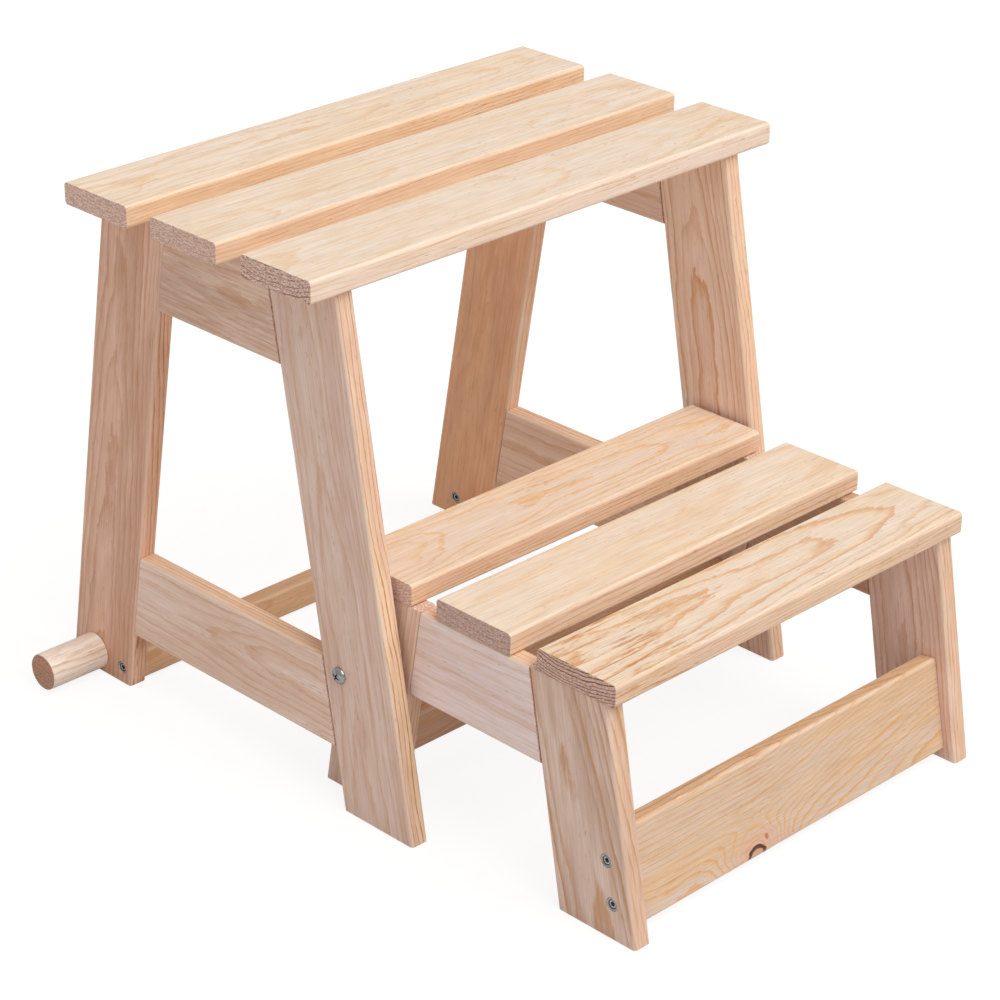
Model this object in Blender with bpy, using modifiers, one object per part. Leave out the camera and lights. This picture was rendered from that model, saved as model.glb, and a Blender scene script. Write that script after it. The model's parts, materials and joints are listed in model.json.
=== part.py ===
"""Slatted wooden step stool with a lower step that folds up and over into it.

Metres, +Z up. +X runs along the slats, -Y is the side of the lower step, and
the origin is on the floor at the centre of the unfolded footprint.
"""
import math

import bmesh
import bpy
from mathutils import Matrix, Vector

# Timber
T = 0.018            # thickness of the frames' boards
SLAT_T = 0.0197
LEG_W = 0.082        # widths of the boards
RAIL_W = 0.082
TOP_SLAT_W = 0.082
STEP_SLAT_W = 0.083
ROUND = 0.0034       # rounding of the boards' long edges
GAP = 0.0003         # play between pieces that touch
SPLAY = math.radians(9.9)    # lean of every leg

# Stool frame
TOP_Z = 0.4842       # upper surface of the top slats
TOP_LENGTH = 0.5288
TOP_PITCH = 0.1116
TOP_HALF = 0.1452    # half depth of the frame under the slats
FRAME_X = 0.215      # inner face of the outer frames
BOTTOM_RAIL_Z = 0.0559
STOOL_Y = 0.1129     # middle of the stool

# Lower step
STEP_Z = 0.2246
STEP_LENGTH = 0.4194
STEP_PITCH = 0.1112
STEP_HALF = 0.1436
STEP_X = 0.1911      # inner face of the step's frames
STEP_Y = STOOL_Y - 0.2727

# Pivot of the step
PIVOT_Y = STOOL_Y - 0.1408
PIVOT_Z = 0.1273
BOLT_R = 0.003
BOLT_HOLE_R = 0.0033
DOME_R = 0.0075
DOME_H = 0.0042
NUT_R = 0.0058
NUT_L = 0.0062
WASHER_R = 0.009

# Stretchers
STRETCHER_W = 0.0848
BATTEN_Y = STOOL_Y + 0.1537
BATTEN_W = 0.018
BATTEN_H = 0.0286
BATTEN_Z = 0.001
FRONT_TILT = math.radians(11.2)
FRONT_Y = STEP_Y - 0.1497
FRONT_Z = 0.0495
REAR_TILT = math.radians(12.0)
REAR_W = 0.041
REAR_Y = STEP_Y + 0.0962
REAR_Z = 0.0757

# Side pegs at the stool's rear feet
PEG_R = 0.017
PEG_L = 0.060
PEG_Y = STOOL_Y + 0.1902
PEG_Z = 0.0192

# Joinery
DOWEL_R = 0.004
DOWEL_IN_SLAT = 0.010
DOWEL_IN_FRAME = 0.024
TENON_T = 0.008
TENON_W = 0.042
TENON_L = 0.022
SCREW_R = 0.0030
HEAD_R = 0.0056
HEAD_RIM = 0.0006
HEAD_H = 0.0036
HEAD_SUNK = 0.0004   # how far the heads lie below the wood
SOCKET_R = 0.0023    # corner radius of the hexagon socket
SOCKET_DEPTH = 0.0026
SCREW_L = 0.050


def clear_scene():
    for item in list(bpy.data.objects):
        bpy.data.objects.remove(item, do_unlink=True)


def collection(name):
    group = bpy.data.collections.new(name)
    bpy.context.scene.collection.children.link(group)
    return group


clear_scene()
PARTS = collection("step_stool")
CUTTERS = collection("cutters")


def material(name, colour, roughness, metallic):
    mat = bpy.data.materials.new(name)
    mat.use_nodes = True
    shader = mat.node_tree.nodes["Principled BSDF"]
    shader.inputs["Base Color"].default_value = (*colour, 1.0)
    shader.inputs["Roughness"].default_value = roughness
    shader.inputs["Metallic"].default_value = metallic
    return mat


def pine(name):
    return material(name, (0.80, 0.62, 0.44), 0.62, 0.0)


def zinc(name):
    return material(name, (0.66, 0.67, 0.69), 0.32, 1.0)


def empty(name, place):
    item = bpy.data.objects.new(name, None)
    item.location = place
    PARTS.objects.link(item)
    return item


def add(name, mesh, mat, parent=None, group=PARTS):
    item = bpy.data.objects.new(name, mesh)
    group.objects.link(item)
    if mat:
        mesh.materials.append(mat)
    if parent:
        item.parent = parent
        item.matrix_parent_inverse = Matrix.Translation(parent.location).inverted()
    return item


def box_mesh(name, size):
    bm = bmesh.new()
    bmesh.ops.create_cube(bm, size=1.0)
    bmesh.ops.scale(bm, vec=Vector(size), verts=bm.verts)
    mesh = bpy.data.meshes.new(name)
    bm.to_mesh(mesh)
    bm.free()
    return mesh


def rod_mesh(name, radius, length, sides=24, end_radius=None):
    """A round rod along +X, from x = 0 to x = length."""
    bm = bmesh.new()
    bmesh.ops.create_cone(
        bm, cap_ends=True, cap_tris=False, segments=sides, radius1=radius,
        radius2=radius if end_radius is None else end_radius, depth=length)
    bmesh.ops.rotate(bm, verts=bm.verts, matrix=Matrix.Rotation(math.pi / 2, 3, "Y"))
    bmesh.ops.translate(bm, verts=bm.verts, vec=(length / 2, 0, 0))
    mesh = bpy.data.meshes.new(name)
    bm.to_mesh(mesh)
    bm.free()
    mesh.shade_smooth()
    mesh.set_sharp_from_angle(angle=math.radians(35))
    return mesh


def cutter(name, mesh, place, turn=None):
    item = add("cut_" + name, mesh, None, group=CUTTERS)
    item.location = place
    if turn:
        item.rotation_euler = turn
    item.hide_render = True
    item.display_type = "WIRE"
    return item


def boolean(item, tool, operation="DIFFERENCE"):
    mod = item.modifiers.new(tool.name, "BOOLEAN")
    mod.operation = operation
    mod.solver = "EXACT"
    mod.object = tool


def round_long_edges(item, along, width=ROUND):
    """Bevels the straight edges that run along the given local direction."""
    mesh = item.data
    weight = mesh.attributes.new("bevel_weight_edge", "FLOAT", "EDGE")
    for edge in mesh.edges:
        a, b = (mesh.vertices[i].co for i in edge.vertices)
        run = (b - a).normalized()
        if abs(run.dot(along)) > 0.999:
            weight.data[edge.index].value = 1.0
    mod = item.modifiers.new("round", "BEVEL")
    mod.limit_method = "WEIGHT"
    mod.width = width
    mod.segments = 3


def plank(name, size, place, parent, turn=None):
    """A rectangular board with rounded long edges; its longest side is its grain."""
    item = add(name, box_mesh(name, size), pine(name), parent)
    item.location = place
    if turn:
        item.rotation_euler = turn
    long_side = max(range(3), key=lambda i: size[i])
    round_long_edges(item, Vector([1.0 if i == long_side else 0.0 for i in range(3)]))
    return item


def leg(name, side_x, facing, half, top_z, mid_y, inner_x, parent):
    """A leaning board, sawn level at the floor and under the slats.

    facing is +1 for a rear leg and -1 for a front one.
    """
    lean = math.tan(SPLAY)
    wide = LEG_W / math.cos(SPLAY)
    corners = (
        (half + top_z * lean, 0.0),
        (half, top_z),
        (half - wide, top_z),
        (half + top_z * lean - wide, 0.0),
    )
    item = add(name, box_mesh(name, (T, 1.0, 1.0)), pine(name), parent)
    for vert in item.data.vertices:
        outer = vert.co.y > 0
        high = vert.co.z > 0
        y, z = corners[(1 if high else 0) if outer else (2 if high else 3)]
        vert.co.y = facing * y
        vert.co.z = z
    if facing < 0:
        item.data.flip_normals()
    item.location = (side_x * (inner_x + T / 2), mid_y, 0.0)
    run = Vector((0.0, -facing * math.sin(SPLAY), math.cos(SPLAY)))
    round_long_edges(item, run)
    return item


def rail(name, side_x, low_z, half, top_z, mid_y, inner_x, parent):
    """A board between two legs, its ends sawn to the legs' lean, with a tenon each end."""
    lean = math.tan(SPLAY)
    wide = LEG_W / math.cos(SPLAY)

    def reach(z):
        return half + (top_z - z) * lean - wide - GAP

    item = add(name, box_mesh(name, (T, 1.0, 1.0)), pine(name), parent)
    for vert in item.data.vertices:
        z = low_z + (RAIL_W if vert.co.z > 0 else 0.0)
        vert.co.y = math.copysign(reach(z), vert.co.y)
        vert.co.z = z
    item.location = (side_x * (inner_x + T / 2), mid_y, 0.0)
    round_long_edges(item, Vector((0.0, 1.0, 0.0)))
    mid_z = low_z + RAIL_W / 2
    length = 2 * (reach(mid_z) + TENON_L)
    tenon = cutter(name + "_tenon", box_mesh(name + "_tenon", (TENON_T, length, TENON_W)),
                   (side_x * (inner_x + T / 2), mid_y, mid_z))
    boolean(item, tenon, "UNION")
    return item


def mortise(item, side_x, facing, low_z, half, top_z, mid_y, inner_x):
    """A blind slot in a leg for a rail's tenon, with play all round."""
    lean = math.tan(SPLAY)
    wide = LEG_W / math.cos(SPLAY)
    mid_z = low_z + RAIL_W / 2
    face = half + (top_z - mid_z) * lean - wide
    depth = TENON_L + 0.0006
    start = face - 0.020
    length = depth + 0.020
    mesh = box_mesh("slot", (TENON_T + 2 * GAP, length, TENON_W + 2 * GAP))
    place = (side_x * (inner_x + T / 2), mid_y + facing * (start + length / 2), mid_z)
    boolean(item, cutter(f"{item.name}_slot_{low_z:.3f}", mesh, place))


def dowel_joint(name, slat, frame_piece, x, y, z, parent):
    """An upright hidden dowel between a slat and the piece under it; z is their joint."""
    upright = (0.0, -math.pi / 2, 0.0)
    low = z - DOWEL_IN_FRAME
    length = DOWEL_IN_FRAME + DOWEL_IN_SLAT - 2 * GAP
    item = add(name, rod_mesh(name, DOWEL_R, length, 16), pine(name), parent)
    item.location = (x, y, low + GAP)
    item.rotation_euler = upright
    hole = rod_mesh("hole", DOWEL_R + GAP, DOWEL_IN_FRAME + 0.004, 16)
    boolean(frame_piece, cutter(name + "_low", hole, (x, y, low), upright))
    hole = rod_mesh("hole", DOWEL_R + GAP, DOWEL_IN_SLAT + 0.004, 16)
    boolean(slat, cutter(name + "_high", hole, (x, y, z - 0.004), upright))
    return item


def profile_mesh(name, profile):
    """An open line of (x, radius) points, which spin turns into a round solid."""
    bm = bmesh.new()
    verts = [bm.verts.new((px, pr, 0.0)) for px, pr in profile]
    for a, b in zip(verts, verts[1:]):
        bm.edges.new((a, b))
    mesh = bpy.data.meshes.new(name)
    bm.to_mesh(mesh)
    bm.free()
    return mesh


def screw(name, outward, x, y, z, through, into, parent):
    """A countersunk screw with a hexagon socket, its head just below the face at x.

    outward is the sign of the X direction that the head faces.
    """
    turn = (0.0, 0.0, 0.0) if outward < 0 else (0.0, 0.0, math.pi)
    top = x - outward * HEAD_SUNK
    profile = [(0.0, 0.0), (0.0, HEAD_R), (HEAD_RIM, HEAD_R), (HEAD_H, SCREW_R),
               (SCREW_L - 0.006, SCREW_R), (SCREW_L, 0.0)]
    item = turned(name, profile, (top, y, z), turn, 20, zinc(name), parent)
    socket = rod_mesh("socket", SOCKET_R, SOCKET_DEPTH + 0.002, 6)
    boolean(item, cutter(name + "_socket", socket, (top + outward * 0.002, y, z), turn))

    hole = SCREW_R + GAP
    pilot = rod_mesh("pilot", hole, SCREW_L + 0.012, 20)
    boolean(into, cutter(name + "_pilot", pilot, (x + outward * 0.010, y, z), turn))
    wide = HEAD_R + GAP
    seat = HEAD_SUNK + HEAD_RIM + GAP
    slope = (HEAD_R - SCREW_R) / (HEAD_H - HEAD_RIM)
    neck = seat + (wide - hole) / slope
    profile = [(-0.002, 0.0), (-0.002, wide), (seat, wide), (neck, hole),
               (T + 0.006, hole), (T + 0.006, 0.0)]
    sink = cutter(name + "_sink", profile_mesh("sink", profile), (x, y, z), turn)
    spin(sink, 20)
    boolean(through, sink)
    return item


def spin(item, steps):
    """Turns a profile in the XY plane into a closed round solid about local X."""
    mod = item.modifiers.new("turn", "SCREW")
    mod.axis = "X"
    mod.steps = steps
    mod.render_steps = steps
    mod.use_merge_vertices = True
    mod.merge_threshold = 0.00001
    mod.use_normal_calculate = True
    mod.use_smooth_shade = True


def turned(name, profile, place, turn, steps, mat, parent):
    item = add(name, profile_mesh(name, profile), mat, parent)
    spin(item, steps)
    item.location = place
    item.rotation_euler = turn
    return item


def side_name(side_x):
    return "left" if side_x < 0 else "right"


def slats(prefix, top_z, length, width, pitch, mid_y, parent):
    made = {}
    for place, offset in (("rear", 1), ("middle", 0), ("front", -1)):
        name = f"{prefix}_{place}"
        made[place] = plank(name, (length, width, SLAT_T),
                            (0.0, mid_y + offset * pitch, top_z - SLAT_T / 2), parent)
    return made


def dowel_row(prefix, tops, legs, top_rail, side_x, inner_x, half, mid_y, z, parent):
    """One dowel from each slat into the leg or rail below it."""
    seat = half - 0.45 * LEG_W
    x = side_x * (inner_x + T / 2)
    for place, facing in (("rear", 1), ("middle", 0), ("front", -1)):
        below = top_rail if facing == 0 else legs[place]
        y = mid_y + facing * seat
        dowel_joint(f"{prefix}_{place}_dowel_{side_name(side_x)}", tops[place], below,
                    x, y, z, parent)


# --- Stool -------------------------------------------------------------------
stool = empty("stool", (0.0, STOOL_Y, 0.0))
step = empty("step", (0.0, PIVOT_Y, PIVOT_Z))

LEG_TOP = TOP_Z - SLAT_T - GAP
STEP_TOP = STEP_Z - SLAT_T - GAP

top_slats = slats("top_slat", TOP_Z, TOP_LENGTH, TOP_SLAT_W, TOP_PITCH, STOOL_Y, stool)
step_slats = slats("step_slat", STEP_Z, STEP_LENGTH, STEP_SLAT_W, STEP_PITCH, STEP_Y, step)

batten = plank("rear_batten", (2 * (FRAME_X - GAP), BATTEN_W, BATTEN_H),
               (0.0, BATTEN_Y, BATTEN_Z + BATTEN_H / 2), stool)
front_stretcher = plank("step_front_stretcher", (2 * (STEP_X - GAP), T, STRETCHER_W),
                        (0.0, FRONT_Y, FRONT_Z), step, turn=(-FRONT_TILT, 0.0, 0.0))
rear_stretcher = plank("step_rear_stretcher", (2 * (STEP_X - GAP), T, REAR_W),
                       (0.0, REAR_Y, REAR_Z), step, turn=(REAR_TILT, 0.0, 0.0))

for side in (-1, 1):
    hand = side_name(side)
    legs = {}
    step_legs = {}
    for place, facing in (("rear", 1), ("front", -1)):
        legs[place] = leg(f"{place}_leg_{hand}", side, facing, TOP_HALF, LEG_TOP,
                          STOOL_Y, FRAME_X, stool)
        step_legs[place] = leg(f"step_{place}_leg_{hand}", side, facing, STEP_HALF, STEP_TOP,
                               STEP_Y, STEP_X, step)
    top_rail_z = LEG_TOP - RAIL_W
    top_rail = rail(f"top_rail_{hand}", side, top_rail_z, TOP_HALF, LEG_TOP,
                    STOOL_Y, FRAME_X, stool)
    rail(f"bottom_rail_{hand}", side, BOTTOM_RAIL_Z, TOP_HALF, LEG_TOP,
         STOOL_Y, FRAME_X, stool)
    step_rail_z = STEP_TOP - RAIL_W
    step_rail = rail(f"step_rail_{hand}", side, step_rail_z, STEP_HALF, STEP_TOP,
                     STEP_Y, STEP_X, step)
    for place, facing in (("rear", 1), ("front", -1)):
        mortise(legs[place], side, facing, top_rail_z, TOP_HALF, LEG_TOP, STOOL_Y, FRAME_X)
        mortise(legs[place], side, facing, BOTTOM_RAIL_Z, TOP_HALF, LEG_TOP, STOOL_Y, FRAME_X)
        mortise(step_legs[place], side, facing, step_rail_z, STEP_HALF, STEP_TOP,
                STEP_Y, STEP_X)
    dowel_row("top", top_slats, legs, top_rail, side, FRAME_X, TOP_HALF, STOOL_Y, LEG_TOP,
              stool)
    dowel_row("step", step_slats, step_legs, step_rail, side, STEP_X, STEP_HALF, STEP_Y,
              STEP_TOP, step)

    # Pivot: a dome-head bolt through both front legs, a spacer washer and a nut
    axis_turn = (0.0, 0.0, 0.0) if side < 0 else (0.0, 0.0, math.pi)
    outer_x = side * (FRAME_X + T)
    nut_x = side * STEP_X
    bolt_end = FRAME_X + T - STEP_X + NUT_L + 0.0035
    dome = [(-DOME_H * math.cos(a), DOME_R * math.sin(a))
            for a in (i * math.pi / 12 for i in range(0, 7))]
    profile = dome + [(0.0, BOLT_R), (bolt_end, BOLT_R), (bolt_end + 0.0006, BOLT_R - 0.0006),
                      (bolt_end + 0.0006, 0.0)]
    bolt = turned(f"pivot_bolt_{hand}", profile,
                  (outer_x + side * GAP, PIVOT_Y, PIVOT_Z), axis_turn, 24,
                  zinc(f"pivot_bolt_{hand}"), stool)
    for piece, face in ((legs["front"], FRAME_X), (step_legs["rear"], STEP_X)):
        start = face + T + 0.004
        tool = cutter(f"{piece.name}_pivot", rod_mesh("pivot", BOLT_HOLE_R, T + 0.008, 24),
                      (side * start, PIVOT_Y, PIVOT_Z), axis_turn)
        boolean(piece, tool)
    space = FRAME_X - STEP_X - T
    washer = add(f"pivot_washer_{hand}", rod_mesh("washer", WASHER_R, space - 2 * GAP, 24),
                 zinc(f"pivot_washer_{hand}"), stool)
    washer.location = (side * (FRAME_X - GAP), PIVOT_Y, PIVOT_Z)
    washer.rotation_euler = axis_turn
    boolean(washer, cutter(f"washer_{hand}", rod_mesh("bore", BOLT_HOLE_R, 0.010, 24),
                           (side * (FRAME_X + 0.002), PIVOT_Y, PIVOT_Z), axis_turn))
    nut = add(f"pivot_nut_{hand}", rod_mesh("nut", NUT_R, NUT_L, 6), zinc(f"pivot_nut_{hand}"),
              stool)
    nut.location = (nut_x - side * GAP, PIVOT_Y, PIVOT_Z)
    nut.rotation_euler = axis_turn
    boolean(nut, cutter(f"nut_{hand}", rod_mesh("bore", BOLT_HOLE_R, 0.020, 24),
                        (nut_x + side * 0.004, PIVOT_Y, PIVOT_Z), axis_turn))

    # Peg, held from inside the leg
    peg = add(f"side_peg_{hand}", rod_mesh("peg", PEG_R, PEG_L, 32), pine(f"side_peg_{hand}"),
              stool)
    peg.location = (outer_x + side * GAP, PEG_Y, PEG_Z)
    peg.rotation_euler = (0.0, 0.0, math.pi) if side < 0 else (0.0, 0.0, 0.0)
    ease = peg.modifiers.new("ease", "BEVEL")
    ease.limit_method = "ANGLE"
    ease.angle_limit = math.radians(60)
    ease.width = 0.0012
    ease.segments = 2
    screw(f"peg_screw_{hand}", -side, side * FRAME_X, PEG_Y, PEG_Z, legs["rear"], peg, stool)

    # Screws through the legs into the ends of the stretchers
    screw(f"batten_screw_{hand}", side, outer_x, BATTEN_Y, BATTEN_Z + BATTEN_H / 2,
          legs["rear"], batten, stool)
    step_outer = side * (STEP_X + T)
    for label, along in (("high", 0.0187), ("low", -0.0187)):
        screw(f"front_screw_{label}_{hand}", side, step_outer,
              FRONT_Y + along * math.sin(FRONT_TILT), FRONT_Z + along * math.cos(FRONT_TILT),
              step_legs["front"], front_stretcher, step)
    screw(f"rear_screw_{hand}", side, step_outer, REAR_Y, REAR_Z,
          step_legs["rear"], rear_stretcher, step)
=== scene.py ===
"""Looks of the slatted step stool: planed pine boards, turned pegs and zinc hardware.

Every piece is built in the row frame, in metres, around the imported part. Its object stays
at the origin, so that object coordinates in the materials are row-frame coordinates.
"""

import json
import math

import bmesh
import bpy
from mathutils import Matrix, Vector, noise


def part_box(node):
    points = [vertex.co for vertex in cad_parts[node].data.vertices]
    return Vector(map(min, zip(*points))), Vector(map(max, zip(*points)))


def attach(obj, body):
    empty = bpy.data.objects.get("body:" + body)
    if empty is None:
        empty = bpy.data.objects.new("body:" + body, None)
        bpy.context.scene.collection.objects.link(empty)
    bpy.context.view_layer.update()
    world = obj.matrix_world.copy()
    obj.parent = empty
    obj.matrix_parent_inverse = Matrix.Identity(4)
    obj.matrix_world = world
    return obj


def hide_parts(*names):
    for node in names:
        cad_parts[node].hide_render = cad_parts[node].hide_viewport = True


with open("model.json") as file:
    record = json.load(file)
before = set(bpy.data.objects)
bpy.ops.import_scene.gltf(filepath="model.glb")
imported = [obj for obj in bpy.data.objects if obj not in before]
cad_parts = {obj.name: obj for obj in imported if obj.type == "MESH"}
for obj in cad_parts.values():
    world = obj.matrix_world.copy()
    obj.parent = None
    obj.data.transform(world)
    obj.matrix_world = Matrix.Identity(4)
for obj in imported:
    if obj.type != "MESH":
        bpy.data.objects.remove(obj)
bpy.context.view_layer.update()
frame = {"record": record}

# Sizes that the frame's boxes don't give
SPLAY = math.radians(9.9)          # lean of the legs
FRONT_TILT = math.radians(11.2)    # lean of the step's front stretcher
REAR_TILT = math.radians(12.0)     # lean of the step's rear stretcher, the other way
REAR_STRETCHER_W = 0.041
STRETCHER_W = 0.0848
BOARD = 0.018                      # thickness of the frames' boards
GAP = 0.0003
ROUND = 0.0034                     # rounding of the long edges
EASE = 0.0005                      # easing of the sawn ends
EASE_STEPS = 3
SPAN = 0.012                       # between a board's sections
WAVE_DEPTH = 0.00010               # waves and dents in the boards' surface
DENT_DEPTH = 0.0012
TENON_T = 0.008
TENON_W = 0.042
DOWEL_R = 0.004
DOWEL_EASE = 0.0008
HEAD_R = 0.0056                    # a screw's head
HEAD_RIM = 0.0006
HEAD_H = 0.0036
HEAD_SUNK = 0.0004                 # how far it lies under the wood
DISH = ((0.0011, 0.0), (0.0011, 0.0030), (0.0005, 0.0042), (0.0, 0.0048), (0.0, 0.0052),
        (0.0002, 0.0055), (0.0004, HEAD_R))    # (depth, radius) of its face
SCREW_R = 0.0030
NECK_END = 0.0190                  # where its thread starts
THREAD_STOP = 0.004                # and how far from the tip it stops
SCREW_PITCH = 0.0020
SCREW_THREAD = 0.0008              # depth of the thread
PILOT_START = 0.010                # from its head, inside the first board
SOCKET_R = 0.0023
SOCKET_DEPTH = 0.0026
BOLT_R = 0.003
BOLT_THREAD_L = 0.0148
BOLT_THREAD = 0.0005               # depth of the thread
BOLT_TIP = 0.0006
BOLT_PITCH = 0.0010
THREAD_STEP = 0.00014              # between the rings of a bolt's or a nut's thread
NUT_THREAD = 0.0002
DOME_H = 0.0042                    # a pivot bolt's head
CROSS_ARM = (0.0050, 0.0074, 0.0013)    # one arm of the recess in its head
BOLT_HOLE_R = 0.0033
WASHER_EASE = 0.0003
PEG_EASE = 0.0014

X = Vector((1, 0, 0))
Y = Vector((0, 1, 0))
Z = Vector((0, 0, 1))

SLOT = {part["node"]: part["material_slot"] for part in frame["record"]["subparts"]}
BODY = {node: body for body, nodes in frame["record"]["behaviour"]["bodies"].items()
        for node in nodes}
SIDES = (("left", -1), ("right", 1))


# --- Shader wiring ------------------------------------------------------------
class Wiring:
    """Adds shader nodes to one tree and joins them; each method returns an output."""

    def __init__(self, tree):
        self.tree = tree

    def feed(self, socket, value):
        if isinstance(value, bpy.types.NodeSocket):
            self.tree.links.new(value, socket)
        elif value is not None:
            socket.default_value = value

    def node(self, kind, **settings):
        made = self.tree.nodes.new(kind)
        for name, value in settings.items():
            setattr(made, name, value)
        return made

    def math(self, operation, a, b=None, c=None, clamp=False):
        made = self.node("ShaderNodeMath", operation=operation, use_clamp=clamp)
        for socket, value in zip(made.inputs, (a, b, c)):
            self.feed(socket, value)
        return made.outputs[0]

    def times(self, a, b, clamp=False):
        return self.math("MULTIPLY", a, b, clamp=clamp)

    def minus(self, a, b):
        return self.math("SUBTRACT", a, b)

    def times_plus(self, a, b, c, clamp=False):
        return self.math("MULTIPLY_ADD", a, b, c, clamp)

    def vector(self, operation, a, b=None):
        made = self.node("ShaderNodeVectorMath", operation=operation)
        self.feed(made.inputs[0], a)
        self.feed(made.inputs[1], b)
        return made.outputs["Value" if operation in ("DOT_PRODUCT", "LENGTH") else "Vector"]

    def join(self, x, y, z):
        made = self.node("ShaderNodeCombineXYZ")
        for socket, value in zip(made.inputs, (x, y, z)):
            self.feed(socket, value)
        return made.outputs[0]

    def split(self, vector):
        made = self.node("ShaderNodeSeparateXYZ")
        self.feed(made.inputs[0], vector)
        return made.outputs

    def noise(self, place, scale, detail=2.0, rough=0.5, shift=None):
        """Noise about 0.5; scale is in cycles a metre along each of the place's axes."""
        at = self.vector("MULTIPLY", place, scale)
        if shift is not None:
            at = self.vector("ADD", at, shift)
        made = self.node("ShaderNodeTexNoise")
        made.inputs["Scale"].default_value = 1.0
        made.inputs["Detail"].default_value = detail
        made.inputs["Roughness"].default_value = rough
        self.feed(made.inputs["Vector"], at)
        return made.outputs[0]

    def ramp(self, value, low, high, to_low=0.0, to_high=1.0):
        """A smooth step from to_low at low to to_high at high."""
        made = self.node("ShaderNodeMapRange", interpolation_type="SMOOTHSTEP")
        for socket, given in zip(made.inputs, (value, low, high, to_low, to_high)):
            self.feed(socket, given)
        return made.outputs[0]

    def mix(self, factor, a, b, blend="MIX"):
        made = self.node("ShaderNodeMix", data_type="RGBA", blend_type=blend)
        made.clamp_factor = True
        self.feed(made.inputs[0], factor)
        self.feed(made.inputs[6], a)
        self.feed(made.inputs[7], b)
        return made.outputs[2]

    def shade(self, colour, factor):
        """The colour times a number that is 1 where nothing changes."""
        made = self.node("ShaderNodeVectorMath", operation="SCALE")
        self.feed(made.inputs[0], colour)
        self.feed(made.inputs["Scale"], factor)
        return made.outputs[0]

    def tint(self, colour, factor):
        """Like shade, but the darker it gets the warmer, as wood does."""
        warm = self.join(self.math("POWER", factor, 0.60), factor,
                         self.math("POWER", factor, 1.55))
        return self.vector("MULTIPLY", colour, warm)


# --- Pine -----------------------------------------------------------------------
PINE_INPUTS = {
    "NodeSocketVector": "Centre Along Across Through Half Pith Lean Knot Tear",
    "NodeSocketFloat": "Pull Fan Ring Wander Seed Strength Edge Heart Cloud Arcs Stipple",
    "NodeSocketColor": "Band Early Late Red Cut",
}

# Scales of the noises, in cycles a metre along, across and through a board
SLOW_BENDS = (5.5, 17.0, 17.0)
QUICK_BENDS = (24.0, 85.0, 85.0)
JAGS = (60.0, 220.0, 220.0)
FUZZ = (130.0, 800.0, 800.0)
FIBRES = (24.0, 850.0, 850.0)
STREAKS = (8.0, 170.0, 170.0)
PATCHES = (3.6, 34.0, 34.0)
MOTTLE = (30.0, 60.0, 60.0)
DUCTS = (95.0, 950.0, 950.0)
DUCT_ZONES = (9.0, 60.0, 60.0)
DASHES = (24.0, 700.0, 700.0)
TEARS = (26.0, 300.0, 300.0)
STIPPLE = (400.0, 420.0, 1400.0)
SAW_MARKS = (400.0, 120.0, 1500.0)

# How far, in metres, quick bends, jags and fuzz move a ring's line
QUICK_REACH = 0.0022
JAG_REACH = 0.0013
FUZZ_REACH = 0.0007

EDGE_INK = (0.430, 0.200, 0.100, 1.0)
DUCT_BROWN = (0.42, 0.18, 0.08, 1.0)
TORN_ORANGE = (0.560, 0.225, 0.070, 1.0)
KNOT_HALO = (0.76, 0.36, 0.26, 1.0)
KNOT_CORE = (0.58, 0.33, 0.22, 1.0)
KNOT_BARK = (0.085, 0.026, 0.012, 1.0)
KNOT_SPLIT = (0.420, 0.120, 0.070, 1.0)
CUT_ARC = (0.20, 0.095, 0.055, 1.0)
# Paler rounded long edges: partly sanded wood, partly a painted highlight
SANDED_AND_HIGHLIGHT = (0.93, 0.80, 0.66, 1.0)
SANDED_REACH = 0.0045              # from a long edge


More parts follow.
